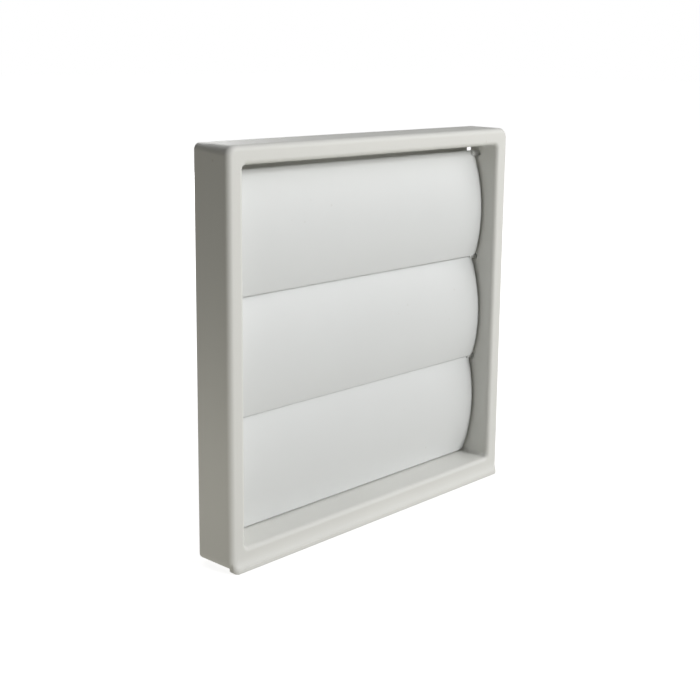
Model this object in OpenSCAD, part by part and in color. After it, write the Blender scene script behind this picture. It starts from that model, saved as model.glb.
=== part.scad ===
// Gravity-flap wall outlet for a 100 mm extractor duct: a square moulded surround, a back plate with a
// short duct spigot in it, three swinging flaps, and the screws and plugs that hold it to the wall.
// The wall is the plane y = 0, the front faces -y, and the origin is on the duct's axis.

/* [Surround] */
// Outside width of the surround
frame_w = 140; // [136:1:146]
// Outside height of the surround
frame_h = 140; // [136:1:146]
// Depth of the surround from the wall to its front face
frame_d = 16.8; // [16.4:0.1:19]
// Width of the border at the sides and the top
border = 6.4; // [6.2:0.1:7.5]
// Height of the border under the flaps
sill = 7.2; // [6.8:0.1:8.5]
// Radius of the surround's corners, seen from the front
corner_r = 3; // [2.5:0.5:4]
// Radius of the rounded outer edge of the front face
edge_r = 2; // [1.5:0.1:2.2]
// Thickness of the outer wall and of the front face
skin_t = 2; // [1.6:0.1:2.2]
// Thickness of the walls that line the opening
lining_t = 1.6; // [1.2:0.1:1.8]

/* [Flaps] */
// Number of flaps
flap_count = 3; // [3:1:3]
// Thickness of a flap
flap_t = 1.5; // [1.2:0.1:1.6]
// Radius of a flap's curved front
flap_bow_r = 61; // [58:1:70]
// Gap between a flap's end and the side wall
flap_end_gap = 0.8; // [0.5:0.1:1.2]
// Radius of a flap's lower corners
flap_corner_r = 2; // [1.5:0.5:4]
// Radius of the pivot pins
pin_r = 1.1; // [0.9:0.05:1.2]
// Angle that the bottom flap hangs inwards at rest
bottom_hang = 5.5; // [4:0.5:6]

/* [Duct] */
// Outside radius of the spigot, for a duct of 100 mm
spigot_r = 49; // [47:0.5:49.5]
// Wall of the spigot
spigot_t = 1.8; // [1.5:0.1:2.5]
// Length of the spigot behind the wall plane
spigot_len = 18; // [12:1:18]

/* [Fixings] */
// Distance between the fixing holes, both ways
hole_pitch = 104; // [102:1:106]
// Radius of the fixing holes
hole_r = 2.25; // [2.1:0.05:2.5]
// Radius of the screws' shanks
screw_r = 1.9; // [1.7:0.05:2]
// Length of a screw
screw_len = 21; // [18:1:21]
// Outside radius of a wall plug
plug_r = 3; // [2.8:0.1:3.5]
// Length of a wall plug
plug_len = 18; // [15:1:19]

/* [Hidden] */
$fn = 96;
// Overlap that joins solids, and how far a cut runs past a surface
eps = 0.01;
cut = 1;
lining_cut = 0.2;

// Opening of the surround
open_w = frame_w - 2 * border;
open_top = frame_h / 2 - border;
open_bottom = sill - frame_h / 2;
open_h = open_top - open_bottom;
open_mid = (open_top + open_bottom) / 2;
open_corner_r = 1.5;

// Pivots: the first is pivot_drop under the opening's top, and each flap takes an equal share below it
pivot_drop = 3.8;
pivot_pitch = (open_h - pivot_drop) / flap_count;
pivot_y = -5.9;
pin_end = open_w / 2 + lining_t + 0.8;
pin_root = open_w / 2 - flap_end_gap - 0.8;

// Flap section about its pivot: an arc whose centre lies behind it
bow_y = 56.3;
bow_z = -22.8;
bow_mid_r = flap_bow_r - flap_t / 2;
flap_rise = 1.2;
flap_reach = pivot_pitch - 0.37;
flap_half_w = open_w / 2 - flap_end_gap;
top_angle = asin((flap_rise - flap_t / 2 - bow_z) / bow_mid_r);
tip_angle = asin((flap_reach - flap_t / 2 + bow_z) / bow_mid_r);

// Slots in the side walls that the pins snap into from behind
slot_r = 1.35;
slot_front_y = -7.15;
slot_flare = 0.9;
slot_flare_y = -4.4;
snap_bump_r = 1.1;
snap_bump_y = -3.7;

// Drip lip along the bottom of the front face
lip_out = 1.2;
lip_drop = 0.55;
lip_flare = 3.6;
lip_tip = 1;
lip_half_w = frame_w / 2 - 0.8;

// Ribs across the hollow back of the surround
rib_t = 1.2;
rib_back_y = -3;
side_rib_z = [-42, -1, 40];
end_rib_x = [-44, 0, 44];

// Lugs on the side walls that the flaps rest on
lug_w = 1.7;
lug_h = 3;
lug_back_y = -2.4;
lug_gap = 0.2;
lug_drop = 37;

// Back plate, held by tongues in windows of the lining
plate_t = 2;
plate_gap = 0.2;
tongue_x = 40;
tongue_w = 10;
tongue_t = 1.2;
tongue_y = -1;
tongue_len = 1.4;
tongue_gap = 0.1;

// Spigot, pushed through the back plate from the front up to its flange
hub_r = spigot_r + 0.6;
hub_gap = 0.05;
flange_r = spigot_r + 2.5;
flange_t = 1.2;

// Fixings
boss_r = 5.2;
boss_t = 3;
head_r = 3.8;
head_gap = 0.15;
point_len = 4;
point_r = 0.2;
recess_w = 0.9;
recess_depth = 1.2;
plug_bore_r = screw_r + 0.05;
plug_slit = 0.8;
slit_start = 6;

function pivot_z(i) = open_top - pivot_drop - i * pivot_pitch;

// Back surface of a flap, measured forward of its pivot, at a height w
function bow_back(w) = sqrt(pow(flap_bow_r - flap_t, 2) - pow(w - bow_z, 2)) - bow_y;

// Turns a drawing of (y, z) into a solid along x, centred
module along_x(length) {
    rotate([90, 0, 90])
        linear_extrude(length, center = true)
            children();
}

// Turns a drawing of (x, z) into a solid from y0 to y1
module along_y(y0, y1) {
    translate([0, y1, 0])
        rotate([90, 0, 0])
            linear_extrude(y1 - y0)
                children();
}

module rounded_rect(w, h, r) {
    square([w - 2 * r, h], center = true);
    square([w, h - 2 * r], center = true);
    for (sx = [-1, 1], sz = [-1, 1])
        translate([sx * (w / 2 - r), sz * (h / 2 - r)])
            circle(r);
}

// Carries a section round a rounded rectangle. The section's x runs outward from the corner centres
// and its y is the model's y.
module swept_rim(w, h, r) {
    for (turn = [0 : 3]) {
        across = (turn % 2 == 0 ? w : h) / 2 - r;
        run = (turn % 2 == 0 ? h : w) / 2 - r;
        rotate([0, 90 * turn, 0])
            translate([across, 0, -run]) {
                linear_extrude(2 * run)
                    children();
                rotate([-90, 0, 0])
                    rotate_extrude(angle = 90)
                        children();
            }
    }
}

// A quarter disc with its round side towards (sx, -y)
module quarter_disc(r, sx) {
    intersection() {
        circle(r);
        translate([sx > 0 ? 0 : -r, -r])
            square(r);
    }
}

// Outer wall of the surround, with its rounded front edge
module rim_skin() {
    swept_rim(frame_w, frame_h, corner_r) {
        translate([corner_r - skin_t, edge_r - frame_d])
            square([skin_t, frame_d - edge_r]);
        translate([corner_r - edge_r, edge_r - frame_d])
            quarter_disc(edge_r, 1);
    }
}

// Walls that line the opening, rounded where they meet the front face
module lining() {
    translate([0, 0, open_mid])
        swept_rim(open_w, open_h, open_corner_r) {
            translate([open_corner_r, lining_t - frame_d])
                square([lining_t, frame_d - lining_t]);
            translate([open_corner_r + lining_t, lining_t - frame_d])
                quarter_disc(lining_t, -1);
        }
}

module front_face() {
    along_y(-frame_d, skin_t - frame_d)
        difference() {
            rounded_rect(frame_w - 2 * edge_r, frame_h - 2 * edge_r, corner_r - edge_r + eps);
            translate([0, open_mid])
                rounded_rect(open_w + 2 * lining_t, open_h + 2 * lining_t, open_corner_r + lining_t);
        }
}

// Lip that throws rain clear of the wall, with a hollow flare into the front face
module drip_lip() {
    flare_r = (lip_out * lip_out + lip_flare * lip_flare) / (2 * lip_out);
    lip_top = lip_tip + lip_flare - frame_h / 2;
    along_x(2 * lip_half_w)
        difference() {
            translate([-frame_d - lip_out, -frame_h / 2 - lip_drop])
                square([lip_out + skin_t, lip_drop + lip_tip + lip_flare]);
            translate([-frame_d - flare_r, lip_top])
                circle(flare_r);
        }
}

module back_ribs() {
    side_in = open_w / 2 + lining_t - eps;
    side_out = frame_w / 2 - skin_t + eps;
    for (sx = [-1, 1], z = side_rib_z)
        translate([sx * (side_in + side_out) / 2, (skin_t - frame_d + rib_back_y) / 2, z])
            cube([side_out - side_in, frame_d - skin_t + rib_back_y, rib_t], center = true);
    for (sz = [-1, 1], x = end_rib_x) {
        end_in = (sz > 0 ? open_top : -open_bottom) + lining_t - eps;
        end_out = frame_h / 2 - skin_t + eps;
        translate([x, (skin_t - frame_d + rib_back_y) / 2, sz * (end_in + end_out) / 2])
            cube([rib_t, frame_d - skin_t + rib_back_y, end_out - end_in], center = true);
    }
}

// Section of one pivot slot, about the pivot's height: open to the rear, flared upwards behind the pin
module slot_section() {
    difference() {
        union() {
            translate([slot_front_y, 0])
                circle(slot_r);
            translate([slot_front_y, -slot_r])
                square([cut - slot_front_y, 2 * slot_r]);
            polygon([
                [slot_flare_y - slot_flare, slot_r - eps],
                [slot_flare_y, slot_r + slot_flare],
                [cut, slot_r + slot_flare],
                [cut, slot_r - eps]
            ]);
        }
        translate([snap_bump_y, -slot_r])
            circle(snap_bump_r);
    }
}

module pivot_slots() {
    for (sx = [-1, 1], i = [0 : flap_count - 1])
        translate([sx * (open_w / 2 + lining_t / 2), 0, pivot_z(i)])
            along_x(lining_t + 2 * lining_cut)
                slot_section();
}

// Lugs behind the lower end of each flap
module rest_lugs() {
    for (sx = [-1, 1], i = [0 : flap_count - 1]) {
        hang = i == flap_count - 1 ? bottom_hang : 0;
        low = lug_drop + lug_h / 2;
        face_y = pivot_y - bow_back(-low) * cos(hang) + low * sin(hang) + lug_gap;
        translate([sx * (open_w / 2 - lug_w / 2 + eps), (face_y + lug_back_y) / 2, pivot_z(i) - lug_drop])
            cube([lug_w + 2 * eps, lug_back_y - face_y, lug_h], center = true);
    }
}

// Windows in the top and bottom linings for the back plate's tongues
module tongue_windows() {
    for (sx = [-1, 1], z = [open_top + lining_t / 2, open_bottom - lining_t / 2])
        translate([sx * tongue_x, tongue_y, z])
            cube([
                tongue_w + 2 * tongue_gap,
                tongue_t + 2 * tongue_gap,
                lining_t + 2 * lining_cut
            ], center = true);
}

module outer_frame() {
    color("#d9d9d6")
        difference() {
            union() {
                rim_skin();
                front_face();
                lining();
                drip_lip();
                back_ribs();
                rest_lugs();
            }
            pivot_slots();
            tongue_windows();
        }
}

module at_fixings() {
    for (sx = [-1, 1], sz = [-1, 1])
        translate([sx * hole_pitch / 2, 0, sz * hole_pitch / 2])
            children();
}

// Countersunk hole along y, with its wide mouth towards the front
module screw_hole() {
    rotate([90, 0, 0]) {
        translate([0, 0, -cut])
            cylinder(h = boss_t + 2 * cut, r = hole_r);
        translate([0, 0, boss_t - head_r - head_gap + hole_r])
            cylinder(h = head_r + head_gap - hole_r + eps, r1 = hole_r, r2 = head_r + head_gap);
    }
}

module back_plate() {
    plate_h = open_h - 2 * plate_gap;
    color("#cfcfcb")
        difference() {
            union() {
                translate([0, 0, open_mid])
                    along_y(-plate_t, 0)
                        rounded_rect(open_w - 2 * plate_gap, plate_h, open_corner_r);
                at_fixings()
                    rotate([90, 0, 0])
                        cylinder(h = boss_t, r = boss_r);
                for (sx = [-1, 1], sz = [-1, 1])
                    translate([sx * tongue_x, tongue_y, open_mid + sz * (plate_h / 2 + tongue_len / 2 - eps)])
                        cube([tongue_w, tongue_t, tongue_len + 2 * eps], center = true);
            }
            rotate([-90, 0, 0])
                translate([0, 0, -plate_t - cut])
                    cylinder(h = plate_t + 2 * cut, r = hub_r + hub_gap);
            at_fixings()
                screw_hole();
        }
}

module duct_spigot() {
    color("#cfcfcb")
        rotate([-90, 0, 0])
            difference() {
                union() {
                    translate([0, 0, -plate_t - flange_t])
                        cylinder(h = flange_t, r = flange_r);
                    translate([0, 0, -plate_t - eps])
                        cylinder(h = plate_t + eps, r = hub_r);
                    translate([0, 0, -eps])
                        cylinder(h = spigot_len + eps, r = spigot_r);
                }
                translate([0, 0, -plate_t - flange_t - cut])
                    cylinder(h = plate_t + flange_t + spigot_len + 2 * cut, r = spigot_r - spigot_t);
            }
}

// Section of the curved plate, about its pivot
module flap_section() {
    translate([bow_y, bow_z]) {
        intersection() {
            difference() {
                circle(flap_bow_r, $fn = 360);
                circle(flap_bow_r - flap_t, $fn = 360);
            }
            polygon([
                [0, 0],
                2 * flap_bow_r * [-cos(top_angle), sin(top_angle)],
                2 * flap_bow_r * [-cos(tip_angle), -sin(tip_angle)]
            ]);
        }
        translate(bow_mid_r * [-cos(top_angle), sin(top_angle)])
            circle(flap_t / 2);
        translate(bow_mid_r * [-cos(tip_angle), -sin(tip_angle)])
            circle(flap_t / 2);
    }
}

// Front outline of a flap, about its pivot, with rounded lower corners
module flap_outline() {
    corner_z = flap_corner_r - flap_reach;
    translate([-flap_half_w, corner_z])
        square([2 * flap_half_w, 2 * flap_rise - corner_z]);
    translate([flap_corner_r - flap_half_w, -flap_reach - cut])
        square([2 * (flap_half_w - flap_corner_r), flap_corner_r + 2 * cut]);
    for (sx = [-1, 1])
        translate([sx * (flap_half_w - flap_corner_r), corner_z])
            circle(flap_corner_r);
}

// One flap with its two pins, hung from pivot i and swung inwards by hang degrees
module flap(i, hang) {
    translate([0, pivot_y, pivot_z(i)])
        rotate([hang, 0, 0]) {
            intersection() {
                along_x(2 * (flap_half_w + cut))
                    flap_section();
                along_y(-frame_d, frame_d)
                    flap_outline();
            }
            for (sx = [-1, 1])
                translate([sx * (pin_root + pin_end) / 2, 0, 0])
                    along_x(pin_end - pin_root)
                        circle(pin_r);
        }
}

module flap_top() {
    color("#e0e1e1")
        flap(0, 0);
}

module flap_middle() {
    color("#e0e1e1")
        flap(1, 0);
}

module flap_bottom() {
    color("#e0e1e1")
        flap(2, bottom_hang);
}

// Place of fixing number i: top left, top right, bottom left, bottom right
module at_fixing(i) {
    sx = i % 2 == 1 ? -1 : 1;
    sz = i <= 2 ? 1 : -1;
    translate([sx * hole_pitch / 2, 0, sz * hole_pitch / 2])
        children();
}

// Countersunk screw driven in from the front, with a cross recess
module screw(i) {
    color("#b8babd")
        at_fixing(i)
            rotate([-90, 0, 0])
                translate([0, 0, -boss_t])
                    difference() {
                        union() {
                            cylinder(h = head_r - screw_r, r1 = head_r, r2 = screw_r);
                            cylinder(h = screw_len - point_len, r = screw_r);
                            translate([0, 0, screw_len - point_len])
                                cylinder(h = point_len, r1 = screw_r, r2 = point_r);
                        }
                        for (turn = [0, 90])
                            rotate([0, 0, turn])
                                cube([head_r, recess_w, 2 * recess_depth], center = true);
                    }
}

// Split expanding plug, pushed into a hole in the wall
module wall_plug(i) {
    color("#c9b28a")
        at_fixing(i)
            rotate([-90, 0, 0])
                difference() {
                    cylinder(h = plug_len, r = plug_r);
                    translate([0, 0, -cut])
                        cylinder(h = plug_len + 2 * cut, r = plug_bore_r);
                    translate([0, 0, slit_start + plug_len])
                        cube([plug_slit, 2 * plug_r + cut, 2 * plug_len], center = true);
                }
}

outer_frame();
back_plate();
duct_spigot();
flap_top();
flap_middle();
flap_bottom();
screw(1);  // screw_1
screw(2);  // screw_2
screw(3);  // screw_3
screw(4);  // screw_4
wall_plug(1);  // wall_plug_1
wall_plug(2);  // wall_plug_2
wall_plug(3);  // wall_plug_3
wall_plug(4);  // wall_plug_4
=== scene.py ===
"""Looks of a gravity-flap wall outlet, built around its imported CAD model."""
import math

import bmesh
import bpy
from mathutils import Matrix, Vector

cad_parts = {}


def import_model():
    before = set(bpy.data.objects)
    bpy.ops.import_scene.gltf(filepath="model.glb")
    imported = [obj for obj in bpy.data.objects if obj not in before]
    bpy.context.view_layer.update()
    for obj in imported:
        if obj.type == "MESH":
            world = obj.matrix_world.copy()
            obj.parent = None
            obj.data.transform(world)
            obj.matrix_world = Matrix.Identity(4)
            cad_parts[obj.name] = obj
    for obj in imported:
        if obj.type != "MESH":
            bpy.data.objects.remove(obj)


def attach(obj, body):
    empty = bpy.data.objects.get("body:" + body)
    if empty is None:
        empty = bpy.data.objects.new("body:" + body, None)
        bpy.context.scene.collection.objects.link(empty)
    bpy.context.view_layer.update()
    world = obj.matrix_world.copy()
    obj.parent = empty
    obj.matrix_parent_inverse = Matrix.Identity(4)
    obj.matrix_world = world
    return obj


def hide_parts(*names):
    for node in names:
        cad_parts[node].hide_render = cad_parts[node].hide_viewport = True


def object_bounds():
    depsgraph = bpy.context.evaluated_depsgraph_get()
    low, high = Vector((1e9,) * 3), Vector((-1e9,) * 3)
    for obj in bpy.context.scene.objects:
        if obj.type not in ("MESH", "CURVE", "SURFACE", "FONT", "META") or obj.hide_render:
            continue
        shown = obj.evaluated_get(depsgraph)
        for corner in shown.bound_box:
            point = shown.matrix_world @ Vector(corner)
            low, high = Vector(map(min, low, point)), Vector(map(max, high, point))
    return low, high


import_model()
cad_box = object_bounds()

# ---------------------------------------------------------------- tolerances, in metres
MM = 0.001
# Points this close together are one point of a new surface
WELD = 1e-7
# Points this close together are what a boolean leaves of one point
SLIVER = 2e-6

# ---------------------------------------------------------------- sizes, in millimetres, as the CAD has them
FRAME_HALF = 70.0
FRAME_D = 16.8
EDGE_R = 2.0
SKIN_T = 2.0
LINING_T = 1.6
BORDER = 6.4
SILL = 7.2
OPEN_HALF_W = FRAME_HALF - BORDER
OPEN_TOP = FRAME_HALF - BORDER
OPEN_BOTTOM = SILL - FRAME_HALF
OPEN_R = 1.5
FLAP_COUNT = 3
PIVOT_DROP = 3.8
PIVOT_PITCH = (OPEN_TOP - OPEN_BOTTOM - PIVOT_DROP) / FLAP_COUNT
PIVOT_Y = -5.9
FLAP_T = 1.5
BOW_R = 61.0
BOW_Y = 56.3
BOW_Z = -22.8
BOW_MID_R = BOW_R - FLAP_T / 2
FLAP_RISE = 1.2
FLAP_REACH = PIVOT_PITCH - 0.37
FLAP_HALF_W = OPEN_HALF_W - 0.8
FLAP_CORNER_R = 2.0
BOTTOM_HANG = 5.5
PIN_R = 1.1
PIN_ROOT = FLAP_HALF_W - 0.8
PIN_END = OPEN_HALF_W + LINING_T + 0.8
SLOT_R = 1.35
SLOT_FRONT_Y = -7.15
SLOT_FLARE = 0.9
SLOT_FLARE_Y = -4.4
SNAP_BUMP_R = 1.1
SNAP_BUMP_Y = -3.7
LIP_OUT = 1.2
LIP_DROP = 0.55
LIP_FLARE = 3.6
LIP_TIP = 1.0
LIP_HALF_W = FRAME_HALF - 0.8
RIB_T = 1.2
RIB_BACK_Y = -3
SIDE_RIB_Z = (-42, -1, 40)
END_RIB_X = (-44, 0, 44)
LUG_W = 1.7
LUG_H = 3.0
LUG_BACK_Y = -2.4
LUG_GAP = 0.2
LUG_DROP = 37.0
PLATE_T = 2.0
PLATE_GAP = 0.2
TONGUE_X = 40
TONGUE_W = 10
TONGUE_T = 1.2
TONGUE_Y = -1
TONGUE_LEN = 1.4
TONGUE_GAP = 0.1
SPIGOT_R = 49.0
SPIGOT_T = 1.8
SPIGOT_LEN = 18.0
HUB_R = SPIGOT_R + 0.6
HUB_GAP = 0.05
FLANGE_R = SPIGOT_R + 2.5
FLANGE_T = 1.2
HOLE_PITCH = 104.0
HOLE_R = 2.25
BOSS_R = 5.2
BOSS_T = 3.0
HEAD_R = 3.8
HEAD_GAP = 0.15
SCREW_R = 1.9
SCREW_LEN = 21.0
POINT_LEN = 4.0
PLUG_R = 3.0
PLUG_LEN = 18.0
PLUG_BORE_R = SCREW_R + 0.05
PLUG_SLIT = 0.8
SLIT_START = 6.0
# How far a cut runs past a surface, and past the faces of the lining
CUT = 1
LINING_CUT = 0.2

# ---------------------------------------------------------------- millimetre sizes that only the looks have
# The surround's corners, seen from the front, open out from the wall to the front face
CORNER_R_BACK = 2.2
CORNER_R_FRONT = 3.8
CORNER_R_LEAST = 0.4
# How deep one part of a moulding sits in the part that it is joined to
BITE = 0.1
# Rounding of edges that the CAD leaves sharp, and the number of faces in a small rounding
EASE = 0.2
EASE_STEPS = 3
# Underside of the front face, where the hollow back ends
CEILING_Y = SKIN_T - FRAME_D


def pivot_z(i):
    return OPEN_TOP - PIVOT_DROP - i * PIVOT_PITCH


def hang_angle(i):
    """How far a flap hangs inwards at rest, in radians. Only the bottom one does."""
    return math.radians(BOTTOM_HANG if i == FLAP_COUNT - 1 else 0)


# ---------------------------------------------------------------- mesh helpers
def new_object(name, verts, faces):
    """A mesh object from points in millimetres, with its faces turned outwards."""
    mesh = bpy.data.meshes.new(name)
    mesh.from_pydata([[c * MM for c in v] for v in verts], [], faces)
    made = bmesh.new()
    made.from_mesh(mesh)
    bmesh.ops.remove_doubles(made, verts=made.verts, dist=WELD)
    bmesh.ops.recalc_face_normals(made, faces=made.faces)
    made.to_mesh(mesh)
    made.free()
    obj = bpy.data.objects.new(name, mesh)
    bpy.context.scene.collection.objects.link(obj)
    return obj


def bridge(rings, ring_closed=False, caps=False):
    """Faces between successive closed rings of equal length.

    ring_closed joins the last ring to the first, and caps fills the first and the last.
    """
    n = len(rings[0])
    verts = [v for ring in rings for v in ring]
    faces = []
    pairs = len(rings) if ring_closed else len(rings) - 1
    for k in range(pairs):
        a, b = k * n, ((k + 1) % len(rings)) * n
        faces += [(a + i, a + (i + 1) % n, b + (i + 1) % n, b + i) for i in range(n)]
    if caps:
        last = (len(rings) - 1) * n
        faces.append(tuple(range(n))[::-1])
        faces.append(tuple(last + i for i in range(n)))
    return verts, faces


def arc(cx, cy, r, a0, a1, steps):
    """Points on an arc from angle a0 to a1, in degrees, both ends included."""
    angles = [math.radians(a0 + (a1 - a0) * k / steps) for k in range(steps + 1)]
    return [(cx + r * math.cos(a), cy + r * math.sin(a)) for a in angles]


def quarter(steps):
    """Angles from 0 to a right angle, in radians, both ends included."""
    return [math.pi / 2 * k / steps for k in range(steps + 1)]


def rounded_rect(x0, x1, z0, z1, r, steps=10, runs=12):
    """Points round a rounded rectangle, whose number depends only on steps and runs, so that rings match."""
    points = []
    corners = [
        (x1 - r, z1 - r, 0),
        (x0 + r, z1 - r, 90),
        (x0 + r, z0 + r, 180),
        (x1 - r, z0 + r, 270),
    ]
    for k, (cx, cz, start) in enumerate(corners):
        points += arc(cx, cz, r, start, start + 90, steps)
        next_cx, next_cz, next_start = corners[(k + 1) % 4]
        ax, az = points[-1]
        bx, bz = arc(next_cx, next_cz, r, next_start, next_start, 1)[0]
        points += [(ax + (bx - ax) * t / runs, az + (bz - az) * t / runs) for t in range(1, runs)]
    return points


def lathe(profile, turns):
    """Turns a closed (radius, y) profile about the y axis."""
    rings = []
    for k in range(turns):
        a = 2 * math.pi * k / turns
        rings.append([(r * math.cos(a), y, r * math.sin(a)) for r, y in profile])
    return bridge(rings, ring_closed=True)


def extrude_x(section, x0, x1):
    """Carries a closed (y, z) section along x."""
    return bridge([[(x, y, z) for y, z in section] for x in (x0, x1)], caps=True)


def block(x0, x1, y0, y1, z0, z1):
    """A block with sharp edges."""
    return extrude_x([(y0, z0), (y1, z0), (y1, z1), (y0, z1)], x0, x1)


def slab(x0, x1, y0, y1, z0, z1, r=0.15):
    """A block with eased edges along x."""
    section = [
        (y0 + r, z0), (y1 - r, z0),
        (y1, z0 + r), (y1, z1 - r),
        (y1 - r, z1), (y0 + r, z1),
        (y0, z1 - r), (y0, z0 + r),
    ]
    return extrude_x(section, x0, x1)


def moved(shape, dx, dz):
    """The same points and faces, moved in x and z."""
    verts, faces = shape
    return [(x + dx, y, z + dz) for x, y, z in verts], faces


def joined(name, parts):
    """One object made of several separate closed shells."""
    verts, faces = [], []
    for v, f in parts:
        faces += [tuple(i + len(verts) for i in face) for face in f]
        verts += v
    return new_object(name, verts, faces)


def merge_slivers(mesh):
    """Joins points that a boolean left within a few micrometres of each other."""
    made = bmesh.new()
    made.from_mesh(mesh)
    bmesh.ops.remove_doubles(made, verts=made.verts, dist=SLIVER)
    bmesh.ops.dissolve_degenerate(made, edges=made.edges, dist=SLIVER)
    made.to_mesh(mesh)
    made.free()


def combine(obj, tools, operation):
    """Applies a boolean between obj and each tool, and removes the tools."""
    for tool in tools:
        modifier = obj.modifiers.new("cut", "BOOLEAN")
        modifier.object = tool
        modifier.operation = operation
        modifier.solver = "EXACT"
        bpy.context.view_layer.update()
        graph = bpy.context.evaluated_depsgraph_get()
        mesh = bpy.data.meshes.new_from_object(obj.evaluated_get(graph))
        obj.modifiers.clear()
        old = obj.data
        obj.data = mesh
        bpy.data.meshes.remove(old)
        bpy.data.objects.remove(tool)
    merge_slivers(obj.data)


def shade(obj, crease):
    """Smooth shading with edges crisp past the crease angle, weighted so that flat faces stay flat."""
    mesh = obj.data
    mesh.polygons.foreach_set("use_smooth", [True] * len(mesh.polygons))
    mesh.set_sharp_from_angle(angle=math.radians(crease))
    weights = obj.modifiers.new("normals", "WEIGHTED_NORMAL")
    weights.keep_sharp = True
    weights.weight = 80


# ---------------------------------------------------------------- surround
def outer_ring(d, y):
    """Ring at depth y, d inside the surround's outline."""
    w = FRAME_HALF - d
    corner = CORNER_R_BACK + (CORNER_R_FRONT - CORNER_R_BACK) * -y / FRAME_D
    outline = rounded_rect(-w, w, -w, w, max(corner - d, CORNER_R_LEAST))
    return [(x, y, z) for x, z in outline]


def inner_ring(d, y):
    """Ring at depth y, d outside the opening."""
    w = OPEN_HALF_W + d
    outline = rounded_rect(-w, w, OPEN_BOTTOM - d, OPEN_TOP + d, OPEN_R + d)
    return [(x, y, z) for x, z in outline]


def surround_shell():
    """Outer wall, front face and lining in one, round a hollow back."""
    edge_steps = 8
    root_r = 0.4
    # Rings between the rounded edges, which keep the long faces even
    side_y = (-5, -10)
    lining_y = (-11, -6)
    hollow_y = -7

    outside = arc(EASE, -EASE, EASE, 90, 180, EASE_STEPS)
    outside += [(0, y) for y in side_y]
    outside += arc(EDGE_R, EDGE_R - FRAME_D, EDGE_R, 180, 270, edge_steps)
    outside += [(BORDER / 2, -FRAME_D)]

    lining = arc(LINING_T, LINING_T - FRAME_D, LINING_T, 270, 180, edge_steps)
    lining += [(0, y) for y in lining_y]
    lining += arc(EASE, -EASE, EASE, 180, 90, EASE_STEPS)
    lining += arc(LINING_T - EASE, -EASE, EASE, 90, 0, EASE_STEPS)
    lining += [(LINING_T, hollow_y)]
    lining += arc(LINING_T + root_r, CEILING_Y + root_r, root_r, 180, 270, EASE_STEPS)

    skin_back = arc(SKIN_T + root_r, CEILING_Y + root_r, root_r, 270, 180, EASE_STEPS)
    skin_back += [(SKIN_T, hollow_y)]
    skin_back += arc(SKIN_T - EASE, -EASE, EASE, 0, 90, EASE_STEPS)

    rings = [outer_ring(d, y) for d, y in outside]
    rings += [inner_ring(d, y) for d, y in lining]
    rings += [outer_ring(d, y) for d, y in skin_back]
    return new_object("surround_moulding", *bridge(rings, ring_closed=True))


def drawn_in(value, base, keep):
    """A value below base comes up towards it, and keeps that share of its distance."""
    return base + (value - base) * (keep if value < base else 1)


def drip_lip():
    """Lip under the front face, with a hollow flare above it and ends that taper into the face."""
    ease = 0.28
    root_t = 1.8
    tip_slope = 110
    tip_drop = 0.3
    top = LIP_TIP + LIP_FLARE - FRAME_HALF
    low = -FRAME_HALF - LIP_DROP
    face = -FRAME_D - LIP_OUT
    rear = -FRAME_D + root_t
    flare_r = (LIP_OUT ** 2 + LIP_FLARE ** 2) / (2 * LIP_OUT)
    sweep = math.degrees(math.asin(LIP_FLARE / flare_r))
    section = arc(-FRAME_D - flare_r, top, flare_r, 0, -sweep, steps=8)[:-1]
    section += arc(face + ease, LIP_TIP - FRAME_HALF - tip_drop, ease, tip_slope, 180, EASE_STEPS)
    section += arc(face + ease, low + ease, ease, 180, 270, EASE_STEPS)
    section += arc(rear - ease, low + ease, ease, 270, 360, EASE_STEPS)
    section += [(rear, top)]

    # Towards each end the section shrinks to a base line that lies inside the surround
    taper = 2.2
    least = 0.04
    base_y = -FRAME_D + 0.6
    base_z = 0.4 - FRAME_HALF
    ends = [(LIP_HALF_W - taper + taper * math.sin(a), math.cos(a)) for a in quarter(steps=10)]
    rings = []
    for x, grow in [(-x, grow) for x, grow in ends[::-1]] + ends:
        keep = least + (1 - least) * grow
        rings.append([(x, drawn_in(y, base_y, keep), drawn_in(z, base_z, keep)) for y, z in section])
    return new_object("lip", *bridge(rings, caps=True))


def back_ribs():
    """Ribs across the hollow back, three along each side."""
    outer_end = FRAME_HALF - SKIN_T + BITE
    y0 = CEILING_Y - BITE
    ribs = []
    for sx in (-1, 1):
        x0, x1 = sorted((sx * (OPEN_HALF_W + LINING_T - BITE), sx * outer_end))
        for z in SIDE_RIB_Z:
            ribs.append(slab(x0, x1, y0, RIB_BACK_Y, z - RIB_T / 2, z + RIB_T / 2))
    for sz, edge in ((1, OPEN_TOP), (-1, -OPEN_BOTTOM)):
        z0, z1 = sorted((sz * (edge + LINING_T - BITE), sz * outer_end))
        for x in END_RIB_X:
            ribs.append(block(x - RIB_T / 2, x + RIB_T / 2, y0, RIB_BACK_Y, z0, z1))
    return ribs


def rest_lugs():
    """Lugs on the side walls, just behind the lower end of each flap."""
    wall_bite = 0.05
    low = LUG_DROP + LUG_H / 2
    flap_back = math.sqrt((BOW_R - FLAP_T) ** 2 - (low + BOW_Z) ** 2) - BOW_Y
    lugs = []
    for i in range(FLAP_COUNT):
        hang = hang_angle(i)
        face_y = PIVOT_Y - flap_back * math.cos(hang) + low * math.sin(hang) + LUG_GAP
        z = pivot_z(i) - LUG_DROP
        for sx in (-1, 1):
            x0, x1 = sorted((sx * (OPEN_HALF_W - LUG_W), sx * (OPEN_HALF_W + wall_bite)))
            lugs.append(slab(x0, x1, face_y, LUG_BACK_Y, z - LUG_H / 2, z + LUG_H / 2))
    return lugs


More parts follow.
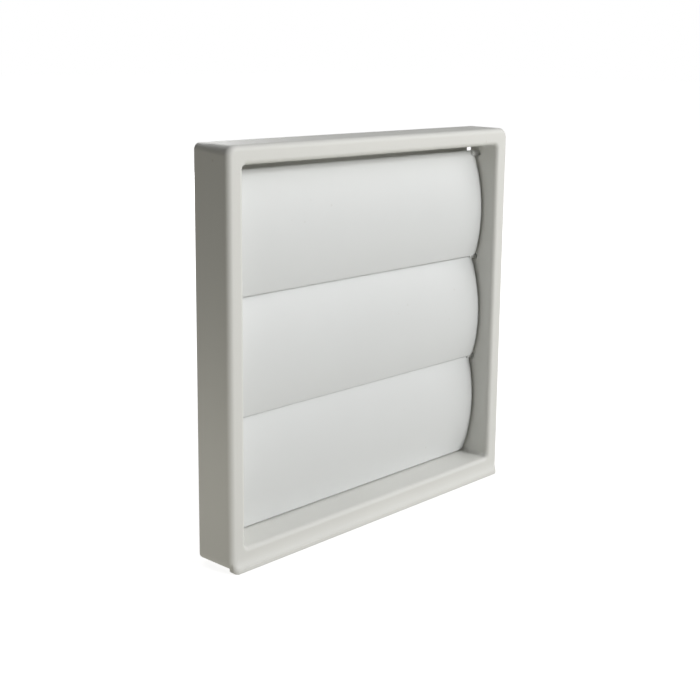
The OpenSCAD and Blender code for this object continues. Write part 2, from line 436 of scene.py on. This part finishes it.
def pivot_slots():
    """Slots in the side walls, open to the rear, with a bump that each pin snaps past."""
    reach = LINING_T / 2 + LINING_CUT
    outline = arc(SLOT_FRONT_Y, 0, SLOT_R, 90, 270, steps=12)
    outline += arc(SNAP_BUMP_Y, -SLOT_R, SNAP_BUMP_R, 180, 0, steps=8)
    outline += [
        (CUT, -SLOT_R),
        (CUT, SLOT_R + SLOT_FLARE),
        (SLOT_FLARE_Y, SLOT_R + SLOT_FLARE),
        (SLOT_FLARE_Y - SLOT_FLARE, SLOT_R),
    ]
    slots = []
    for i in range(FLAP_COUNT):
        section = [(y, z + pivot_z(i)) for y, z in outline]
        for sx in (-1, 1):
            mid = sx * (OPEN_HALF_W + LINING_T / 2)
            slots.append(extrude_x(section, mid - reach, mid + reach))
    return slots


def tongue_windows():
    """Windows in the top and bottom linings for the back plate's tongues."""
    half_w = TONGUE_W / 2 + TONGUE_GAP
    half_t = TONGUE_T / 2 + TONGUE_GAP
    reach = LINING_T / 2 + LINING_CUT
    windows = []
    for sx in (-1, 1):
        x = sx * TONGUE_X
        for z in (OPEN_TOP + LINING_T / 2, OPEN_BOTTOM - LINING_T / 2):
            windows.append(block(x - half_w, x + half_w, TONGUE_Y - half_t, TONGUE_Y + half_t,
                                 z - reach, z + reach))
    return windows


def surround():
    obj = surround_shell()
    combine(obj, [drip_lip(), joined("ribs", back_ribs() + rest_lugs())], "UNION")
    combine(obj, [joined("slots", pivot_slots() + tongue_windows())], "DIFFERENCE")
    return obj


# ---------------------------------------------------------------- flaps
def flap_section(reach, inset):
    """Closed outline of the curved plate in (y, z) about the pivot, drawn in by inset."""
    curve_steps = 40
    cap_steps = 8
    top_a = math.asin((FLAP_RISE - FLAP_T / 2 - BOW_Z) / BOW_MID_R)
    tip_a = math.asin((reach - FLAP_T / 2 + BOW_Z) / BOW_MID_R)
    cap = FLAP_T / 2 - inset
    front_r = BOW_MID_R + cap
    back_r = BOW_MID_R - cap
    curve = [top_a + (-tip_a - top_a) * k / curve_steps for k in range(curve_steps + 1)]
    half_turn = [math.pi * k / cap_steps for k in range(1, cap_steps)]

    points = [(-front_r * math.cos(a), front_r * math.sin(a)) for a in curve]
    y, z = -BOW_MID_R * math.cos(tip_a), -BOW_MID_R * math.sin(tip_a)
    points += [(y - cap * math.cos(tip_a + b), z - cap * math.sin(tip_a + b)) for b in half_turn]
    points += [(-back_r * math.cos(a), back_r * math.sin(a)) for a in curve[::-1]]
    y, z = -BOW_MID_R * math.cos(top_a), BOW_MID_R * math.sin(top_a)
    points += [(y + cap * math.cos(top_a - b), z - cap * math.sin(top_a - b)) for b in half_turn]
    return [(BOW_Y + y, BOW_Z + z) for y, z in points]


def flap_reach(x):
    """How far below its pivot a flap ends, which is less in its rounded lower corners."""
    past = abs(x) - (FLAP_HALF_W - FLAP_CORNER_R)
    if past <= 0:
        return FLAP_REACH
    return FLAP_REACH - FLAP_CORNER_R + math.sqrt(max(FLAP_CORNER_R ** 2 - past ** 2, 0))


def flap_stations():
    """Places along x where a flap's section is drawn, each with how far it is drawn in there."""
    edge = 0.3
    least_step = 0.05
    corner_from = FLAP_HALF_W - FLAP_CORNER_R
    even = [(x, 0) for x in (*range(4, 60, 8), 57)]
    corner = [(corner_from + FLAP_CORNER_R * math.sin(a), 0) for a in quarter(steps=12)]
    corner = [s for s in corner if s[0] < FLAP_HALF_W - edge - least_step]
    end_from = FLAP_HALF_W - edge
    end = [(end_from + edge * math.sin(a), edge * (1 - math.cos(a))) for a in quarter(steps=4)]
    half = even + corner + end
    return [(-x, inset) for x, inset in half[::-1]] + half


def flap_pin(sx):
    """A round-ended pin that starts inside the flap's end."""
    ease = 0.35
    sunk = 1
    root = PIN_ROOT - sunk
    profile = [(0, root), (PIN_R, root), (PIN_R, FLAP_HALF_W - BITE), (PIN_R, PIN_END - ease)]
    profile += arc(PIN_R - ease, PIN_END - ease, ease, 15, 90, steps=4)
    profile += [(0, PIN_END)]
    verts, faces = lathe(profile, turns=28)
    return [(sx * y, x, z) for x, y, z in verts], faces


def flap(i, name):
    rings = [[(x, y, z) for y, z in flap_section(flap_reach(x), inset)] for x, inset in flap_stations()]
    obj = new_object(name, *bridge(rings, caps=True))
    combine(obj, [joined("pins", [flap_pin(-1), flap_pin(1)])], "UNION")
    pivot = Matrix.Translation(Vector((0, PIVOT_Y, pivot_z(i))) * MM)
    obj.data.transform(pivot @ Matrix.Rotation(hang_angle(i), 4, "X"))
    return obj


# ---------------------------------------------------------------- back plate and spigot
def at_corners(shape):
    """One copy of a shape at each of the four fixings."""
    half = HOLE_PITCH / 2
    return [moved(shape, sx * half, sz * half) for sx in (-1, 1) for sz in (-1, 1)]


def plate_tongues(z0, z1):
    """Tongues on the plate's top and bottom edges, z1 and z0."""
    ease = 0.1
    sunk = 0.3
    half_t = TONGUE_T / 2
    tongues = []
    for sx in (-1, 1):
        x = sx * TONGUE_X
        for low, high in ((z1 - sunk, z1 + TONGUE_LEN), (z0 - TONGUE_LEN, z0 + sunk)):
            tongues.append(slab(x - TONGUE_W / 2, x + TONGUE_W / 2, TONGUE_Y - half_t, TONGUE_Y + half_t,
                                low, high, ease))
    return tongues


def ejector_marks():
    """Shallow round marks in the plate's rear face, where the mould's pins pushed it out."""
    mark_r = 2.4
    depth = 0.12
    draft = 0.1
    above = 0.5
    mark = lathe([(0, -depth), (mark_r, -depth), (mark_r + draft, above), (0, above)], turns=32)
    places = [(sx * x, sz * z) for x, z in ((30, 56), (57, 22)) for sz in (1, -1) for sx in (-1, 1)]
    return [moved(mark, x, z) for x, z in places]


def plate_sheet(z0, z1):
    """The flat plate, with its edges eased."""
    ease = 0.25
    half_w = OPEN_HALF_W - PLATE_GAP
    rim = [(ease, 0)] + arc(ease, -ease, ease, 90, 180, EASE_STEPS)[1:]
    rim += arc(ease, ease - PLATE_T, ease, 180, 270, EASE_STEPS)
    rings = []
    for d, y in rim:
        outline = rounded_rect(d - half_w, half_w - d, z0 + d, z1 - d, OPEN_R - d, runs=4)
        rings.append([(x, y, z) for x, z in outline])
    return new_object("back_plate_moulding", *bridge(rings, caps=True))


def fixing_boss():
    """Round boss on the plate's front, about the y axis."""
    sunk = 0.5
    return lathe([
        (0, -sunk),
        (BOSS_R, -sunk),
        (BOSS_R, EASE - BOSS_T),
        (BOSS_R - EASE, -BOSS_T),
        (0, -BOSS_T),
    ], turns=48)


def screw_hole():
    """Countersunk hole about the y axis, with its wide mouth just past the boss's face."""
    past = 0.01
    mouth = HEAD_R + HEAD_GAP
    front = -BOSS_T - 2 * CUT
    return lathe([
        (0, CUT),
        (HOLE_R, CUT),
        (HOLE_R, mouth - HOLE_R - BOSS_T),
        (mouth, -BOSS_T - past),
        (mouth, front),
        (0, front),
    ], turns=48)


def hub_bore():
    """The plate's round opening, which holds the spigot's hub."""
    r = HUB_R + HUB_GAP
    front = -PLATE_T - 2 * CUT
    return new_object("bore", *lathe([(0, front), (r, front), (r, CUT), (0, CUT)], turns=160))


def back_plate():
    z0 = OPEN_BOTTOM + PLATE_GAP
    z1 = OPEN_TOP - PLATE_GAP
    obj = plate_sheet(z0, z1)
    combine(obj, [joined("bosses", at_corners(fixing_boss()) + plate_tongues(z0, z1))], "UNION")
    combine(obj, [hub_bore(), joined("holes", at_corners(screw_hole()) + ejector_marks())], "DIFFERENCE")
    return obj


def spigot():
    """Collar with a flange in front, a hub in the back plate's bore, and a lead-in at its rear end."""
    mouth = 0.5
    lead_in = 0.5
    lead_len = 0.8
    rear = 0.3
    inside = SPIGOT_R - SPIGOT_T
    front = -PLATE_T - FLANGE_T
    profile = [
        (inside + mouth, front),
        (FLANGE_R - EASE, front),
        (FLANGE_R, front + EASE),
        (FLANGE_R, -PLATE_T - EASE),
        (FLANGE_R - EASE, -PLATE_T),
        (HUB_R, -PLATE_T),
        (HUB_R, -EASE),
        (HUB_R - EASE, 0),
        (SPIGOT_R, 0),
        (SPIGOT_R, SPIGOT_LEN - lead_len),
        (SPIGOT_R - lead_in / 2, SPIGOT_LEN - EASE),
        (SPIGOT_R - lead_in, SPIGOT_LEN),
        (inside + rear, SPIGOT_LEN),
        (inside, SPIGOT_LEN - rear),
        (inside, front + mouth),
    ]
    return new_object("spigot_moulding", *lathe(profile, turns=192))


# ---------------------------------------------------------------- fixings
def to_fixing(obj, i):
    """Moves a piece to fixing i: top left, top right, bottom left or bottom right."""
    sx = -1 if i % 2 == 1 else 1
    sz = 1 if i <= 2 else -1
    x, z = sx * HOLE_PITCH / 2, sz * HOLE_PITCH / 2
    obj.data.transform(Matrix.Translation(Vector((x, 0, z)) * MM))


def screw_radius(s, turn):
    """Radius of a screw at a distance s from its head's face, at a share of one turn."""
    rim_t = 0.3
    rim_ease = 0.12
    rim_ease_t = 0.1
    shank_r = SCREW_R - 0.25
    core_r = SCREW_R - 0.5
    neck = HEAD_R - SCREW_R
    pitch = 1.6
    thread_h = 0.5
    thread_half_w = 0.28
    thread_from = neck + 2.2
    run_in = 0.8
    point_r = 0.12
    if s < rim_t:
        return HEAD_R - rim_ease + rim_ease * min(s / rim_ease_t, 1)
    if s < neck + rim_t:
        return max(HEAD_R - (s - rim_t) * (HEAD_R - shank_r) / neck, shank_r)
    if s < thread_from:
        return shank_r
    taper = max(0.0, (s - SCREW_LEN + POINT_LEN) / POINT_LEN)
    phase = (s / pitch - turn) % 1
    crest = max(0.0, 1 - abs(phase - 0.5) / thread_half_w)
    rise = min(1.0, (s - thread_from) / run_in)
    r = core_r + thread_h * crest * rise + (shank_r - core_r) * (1 - rise)
    return r * (1 - taper) + point_r * taper


def recess_wing(angle):
    """One of the two slots of a cross recess, narrower at its floor."""
    above = 0.5
    depth = 1.9
    c, s = math.cos(angle), math.sin(angle)
    rings = []
    for y, half_l, half_w in ((-above, 2.2, 0.5), (depth, 0.9, 0.3)):
        corners = [(-half_l, -half_w), (half_l, -half_w), (half_l, half_w), (-half_l, half_w)]
        rings.append([(c * x - s * z, y - BOSS_T, s * x + c * z) for x, z in corners])
    return new_object("recess", *bridge(rings, caps=True))


def screw(i):
    """Countersunk screw with a rolled thread and a cross recess, which each screw has at its own angle."""
    turns = 36
    step = 0.1
    recess_turn = 20
    rings = []
    for s in [k * step for k in range(round(SCREW_LEN / step) + 1)]:
        ring = []
        for k in range(turns):
            a = 2 * math.pi * k / turns
            r = screw_radius(s, k / turns)
            ring.append((r * math.cos(a), s - BOSS_T, r * math.sin(a)))
        rings.append(ring)
    obj = new_object(f"screw_{i}_threaded", *bridge(rings, caps=True))
    for spin in (0, 90):
        combine(obj, [recess_wing(math.radians(spin + recess_turn * i))], "DIFFERENCE")
    to_fixing(obj, i)
    return obj


def plug(i):
    """Ribbed nylon wall plug, slit from a third of its length to its end."""
    collar = 0.8
    rib_count = 10
    rib_pitch = 1.6
    groove_r = PLUG_R - 0.45
    crest_r = PLUG_R - 0.02
    # Radii along one rib, each with its distance from where the rib starts
    rib = ((groove_r, 0.15), (groove_r, 0.5), (crest_r, 1.3), (crest_r, 1.5))
    nose_from = collar + rib_count * rib_pitch + 0.2
    profile = [(PLUG_BORE_R, 0), (PLUG_R, 0), (PLUG_R, collar)]
    for k in range(rib_count):
        profile += [(r, collar + k * rib_pitch + along) for r, along in rib]
    profile += [(PLUG_R - 0.35, nose_from), (PLUG_R - 0.7, PLUG_LEN), (PLUG_BORE_R, PLUG_LEN)]
    obj = new_object(f"plug_{i}_ribbed", *lathe(profile, turns=48))
    reach = PLUG_R + CUT
    slit = slab(-PLUG_SLIT / 2, PLUG_SLIT / 2, SLIT_START, PLUG_LEN + CUT, -reach, reach)
    combine(obj, [new_object("slit", *slit)], "DIFFERENCE")
    to_fixing(obj, i)
    return obj


# ---------------------------------------------------------------- materials
class Nodes:
    """Small helper to wire a material's nodes."""

    def __init__(self, name):
        self.material = bpy.data.materials.new(name)
        self.material.use_nodes = True
        self.tree = self.material.node_tree
        self.shader = self.tree.nodes["Principled BSDF"]
        self.place = self.add("ShaderNodeTexCoord").outputs["Object"]

    def add(self, kind, **values):
        node = self.tree.nodes.new(kind)
        for key, value in values.items():
            setattr(node, key, value)
        return node

    def link(self, a, b):
        self.tree.links.new(a, b)

    def noise(self, scale, detail=2.0, roughness=0.5, stretch=None):
        node = self.add("ShaderNodeTexNoise")
        node.inputs["Scale"].default_value = scale
        node.inputs["Detail"].default_value = detail
        node.inputs["Roughness"].default_value = roughness
        source = self.place
        if stretch:
            mapping = self.add("ShaderNodeMapping")
            mapping.inputs["Scale"].default_value = stretch
            self.link(source, mapping.inputs["Vector"])
            source = mapping.outputs["Vector"]
        self.link(source, node.inputs["Vector"])
        return node.outputs["Fac"]

    def ramp(self, fac, low, high, a, b):
        """Takes fac from the range low to high into the range a to b."""
        node = self.add("ShaderNodeMapRange")
        node.inputs["From Min"].default_value = low
        node.inputs["From Max"].default_value = high
        node.inputs["To Min"].default_value = a
        node.inputs["To Max"].default_value = b
        self.link(fac, node.inputs["Value"])
        return node.outputs["Result"]

    def mix(self, fac, a, b):
        """Mixes two colours. The node has a set of sockets for each data type, so these go by number."""
        node = self.add("ShaderNodeMix", data_type="RGBA")
        share, first, second, mixed = node.inputs[0], node.inputs[6], node.inputs[7], node.outputs[2]
        for socket, value in ((first, a), (second, b)):
            if isinstance(value, tuple):
                socket.default_value = (*value, 1)
            else:
                self.link(value, socket)
        self.link(fac, share)
        return mixed

    def bump(self, height, distance, strength, base=None):
        node = self.add("ShaderNodeBump")
        node.inputs["Distance"].default_value = distance
        node.inputs["Strength"].default_value = strength
        self.link(height, node.inputs["Height"])
        if base:
            self.link(base, node.inputs["Normal"])
        return node.outputs["Normal"]


def moulded_plastic(name, base, tint, speck, roughness, grain):
    """Moulded plastic: a fine spark-eroded grain, faint flow marks, and a few dull specks."""
    n = Nodes(name)
    flow = n.noise(26, 3, 0.55, stretch=(1.0, 1.0, 0.35))
    cloud = n.noise(90, 4, 0.6)
    colour = n.mix(n.ramp(flow, 0.35, 0.65, 0, 1), base, tint)
    colour = n.mix(n.ramp(cloud, 0.3, 0.7, 0, 0.5), colour, tint)

    dots = n.add("ShaderNodeTexVoronoi")
    dots.inputs["Scale"].default_value = 190
    n.link(n.place, dots.inputs["Vector"])
    dust = n.ramp(dots.outputs["Distance"], 0.05, 0.11, 1, 0)
    rare = n.ramp(n.noise(60, 1), 0.62, 0.68, 0, 0.4)
    few = n.add("ShaderNodeMath", operation="MULTIPLY")
    n.link(dust, few.inputs[0])
    n.link(rare, few.inputs[1])
    colour = n.mix(few.outputs[0], colour, speck)
    n.link(colour, n.shader.inputs["Base Color"])

    rough = n.ramp(n.noise(420, 3), 0.3, 0.7, roughness - 0.05, roughness + 0.06)
    n.link(rough, n.shader.inputs["Roughness"])
    n.shader.inputs["IOR"].default_value = 1.5
    n.shader.inputs["Specular IOR Level"].default_value = 0.4

    fine = n.bump(n.noise(2600, 2, 0.6), 0.00002, grain)
    mid = n.bump(n.noise(700, 2, 0.5), 0.00004, grain * 0.6, fine)
    waves = n.bump(n.noise(38, 1), 0.0003, 0.12, mid)
    n.link(waves, n.shader.inputs["Normal"])
    return n.material


def zinc_steel(name):
    """Bright zinc with a patchy crystal and a few dark spots."""
    n = Nodes(name)
    patch = n.ramp(n.noise(900, 4, 0.65), 0.35, 0.7, 0, 1)
    colour = n.mix(patch, (0.62, 0.63, 0.64), (0.44, 0.45, 0.47))
    spots = n.ramp(n.noise(3000, 2), 0.6, 0.75, 0, 0.4)
    n.link(n.mix(spots, colour, (0.25, 0.23, 0.2)), n.shader.inputs["Base Color"])
    n.shader.inputs["Metallic"].default_value = 1.0
    n.link(n.ramp(n.noise(1500, 3), 0.3, 0.7, 0.28, 0.45), n.shader.inputs["Roughness"])
    n.link(n.bump(n.noise(2500, 2), 0.00002, 0.5), n.shader.inputs["Normal"])
    return n.material


# ---------------------------------------------------------------- build
FRAME_PLASTIC = moulded_plastic(
    "frame_plastic",
    base=(0.785, 0.785, 0.752),
    tint=(0.765, 0.765, 0.735),
    speck=(0.62, 0.60, 0.55),
    roughness=0.5,
    grain=0.5,
)
FLAP_PLASTIC = moulded_plastic(
    "flap_plastic",
    base=(0.778, 0.793, 0.793),
    tint=(0.763, 0.778, 0.778),
    speck=(0.66, 0.66, 0.63),
    roughness=0.46,
    grain=0.4,
)
PLUG_PLASTIC = moulded_plastic(
    "plug_plastic",
    base=(0.55, 0.10, 0.05),
    tint=(0.48, 0.085, 0.045),
    speck=(0.3, 0.05, 0.03),
    roughness=0.42,
    grain=0.5,
)
SCREW_STEEL = zinc_steel("screw_steel")
# Angles between faces, in degrees, past which an edge stays crisp
MOULDING_CREASE = 38
FIXING_CREASE = 30


def place(obj, body, node, material, crease=MOULDING_CREASE):
    """Gives a piece its material and shading, puts it under its body's empty, and hides the CAD node that it
    stands in for.
    """
    obj.data.materials.clear()
    obj.data.materials.append(material)
    shade(obj, crease)
    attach(obj, body)
    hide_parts(node)


place(surround(), "surround", "outer_frame", FRAME_PLASTIC)
place(back_plate(), "surround", "back_plate", FRAME_PLASTIC)
place(spigot(), "surround", "duct_spigot", FRAME_PLASTIC)
for i, which in enumerate(("top", "middle", "bottom")):
    place(flap(i, f"flap_{which}_blade"), f"{which}_flap", f"flap_{which}", FLAP_PLASTIC)
for i in (1, 2, 3, 4):
    place(screw(i), "surround", f"screw_{i}", SCREW_STEEL, FIXING_CREASE)
    place(plug(i), "surround", f"wall_plug_{i}", PLUG_PLASTIC, FIXING_CREASE)


# ---------------------------------------------------------------- stage, in metres
def stage_floor():
    """Pale floor under the object, wide enough to run out of every view, which glows as well as taking
    light: painted light, weaker within 0.15 m of its middle and full from 0.5 m out.
    """
    reach = 6.0
    under = 0.00005
    z = cad_box[0][2] - under
    corners = [(-reach, -reach, z), (reach, -reach, z), (reach, reach, z), (-reach, reach, z)]
    mesh = bpy.data.meshes.new("floor")
    mesh.from_pydata(corners, [], [(0, 1, 2, 3)])
    floor = bpy.data.objects.new("floor", mesh)
    bpy.context.scene.collection.objects.link(floor)
    n = Nodes("floor_paper")
    n.link(n.mix(n.noise(3, 2), (0.42, 0.42, 0.42), (0.44, 0.44, 0.44)), n.shader.inputs["Base Color"])
    n.shader.inputs["Roughness"].default_value = 0.9
    n.shader.inputs["Specular IOR Level"].default_value = 0.1
    # Painted light: the floor glows white, dimmer close under the object and full far out, where the lamps'
    # light has fallen off
    n.shader.inputs["Emission Color"].default_value = (1, 1, 1, 1)
    away = n.add("ShaderNodeVectorMath", operation="LENGTH")
    n.link(n.place, away.inputs[0])
    n.link(n.ramp(away.outputs["Value"], 0.15, 0.5, 0.84, 1.0), n.shader.inputs["Emission Strength"])
    floor.data.materials.append(n.material)
    floor.visible_diffuse = False
    floor.visible_glossy = False


def softbox(name, direction, distance, size, power, colour=(1, 1, 1), aim=(0, 0, 0)):
    """A square area light that looks at the origin, or at aim, from a direction."""
    light = bpy.data.lights.new(name, "AREA")
    light.shape = "SQUARE"
    light.size = size
    light.energy = power
    light.color = colour
    lamp = bpy.data.objects.new(name, light)
    away = Vector(direction).normalized()
    lamp.location = Vector(aim) + away * distance
    lamp.rotation_euler = away.to_track_quat("Z", "Y").to_euler()
    lamp.visible_camera = False
    bpy.context.scene.collection.objects.link(lamp)


def world(below, above):
    """White to the eye, and for light a soft sky, brighter below and in front, as over a pale table."""
    lean_share = 0.15
    made = bpy.data.worlds.new("studio")
    bpy.context.scene.world = made
    made.use_nodes = True
    tree = made.node_tree
    tree.nodes.clear()
    out = tree.nodes.new("ShaderNodeOutputWorld")
    seen = tree.nodes.new("ShaderNodeBackground")
    seen.inputs["Color"].default_value = (1, 1, 1, 1)
    seen.inputs["Strength"].default_value = 1.0
    lit = tree.nodes.new("ShaderNodeBackground")
    lit.inputs["Strength"].default_value = 1.0
    ray = tree.nodes.new("ShaderNodeLightPath")
    mix = tree.nodes.new("ShaderNodeMixShader")
    where = tree.nodes.new("ShaderNodeTexCoord")
    split = tree.nodes.new("ShaderNodeSeparateXYZ")
    ramp = tree.nodes.new("ShaderNodeValToRGB")
    grade = tree.nodes.new("ShaderNodeMapRange")
    grade.inputs["From Min"].default_value = -1
    grade.inputs["From Max"].default_value = 1
    lean = tree.nodes.new("ShaderNodeMath")
    lean.operation = "MULTIPLY_ADD"
    lean.inputs[1].default_value = lean_share
    tree.links.new(where.outputs["Generated"], split.inputs[0])
    tree.links.new(split.outputs["Y"], lean.inputs[0])
    tree.links.new(split.outputs["Z"], lean.inputs[2])
    tree.links.new(lean.outputs[0], grade.inputs["Value"])
    tree.links.new(grade.outputs["Result"], ramp.inputs["Fac"])
    low, high = ramp.color_ramp.elements[0], ramp.color_ramp.elements[1]
    low.position, low.color = 0.35, (*below, 1)
    high.position, high.color = 0.65, (*above, 1)
    tree.links.new(ramp.outputs["Color"], lit.inputs["Color"])
    tree.links.new(ray.outputs["Is Camera Ray"], mix.inputs["Fac"])
    tree.links.new(lit.outputs[0], mix.inputs[1])
    tree.links.new(seen.outputs[0], mix.inputs[2])
    tree.links.new(mix.outputs[0], out.inputs["Surface"])


def camera():
    """The viewpoint: from the front left, a little above, with the frame shifted down."""
    aim = Vector((2.98, 2.51, 21.01)) * MM
    position = Vector((-296.86, -295.90, 99.16)) * MM
    roll = math.radians(0.59)
    look = (aim - position).normalized()
    level = look.cross(Vector((0, 0, 1))).normalized()
    over = level.cross(look)
    right = level * math.cos(roll) + over * math.sin(roll)
    up = right.cross(look)
    data = bpy.data.cameras.new("camera")
    data.sensor_width = 36
    data.lens = 60.13
    data.shift_y = -0.12
    data.clip_start = 0.01
    made = bpy.data.objects.new("camera", data)
    made.matrix_world = Matrix.Translation(position) @ Matrix((right, up, -look)).transposed().to_4x4()
    bpy.context.scene.collection.objects.link(made)
    bpy.context.scene.camera = made


bpy.context.scene.view_settings.view_transform = "Standard"
stage_floor()
softbox("key", (0.25, -1.0, 0.42), distance=1.6, size=0.4, power=12.6)
softbox("right", (0.80, -0.75, 0.58), distance=0.7, size=0.5, power=1.65)
softbox("overhead", (0.1, -0.1, 1.0), distance=1.0, size=0.9, power=1.35)
softbox("rear", (0.30, 1.0, 0.32), distance=1.1, size=0.8, power=8.0)
# A weak warm light close to the left side, as if thrown back by something pale beside it
softbox("bounce_left", (-1.0, 0.0, -0.05), distance=0.09, size=0.05, power=0.0185,
        colour=(1.0, 0.97, 0.88), aim=(-0.07, -0.002, -0.05))
world(below=(0.385, 0.377, 0.343), above=(0.02, 0.02, 0.02))
camera()
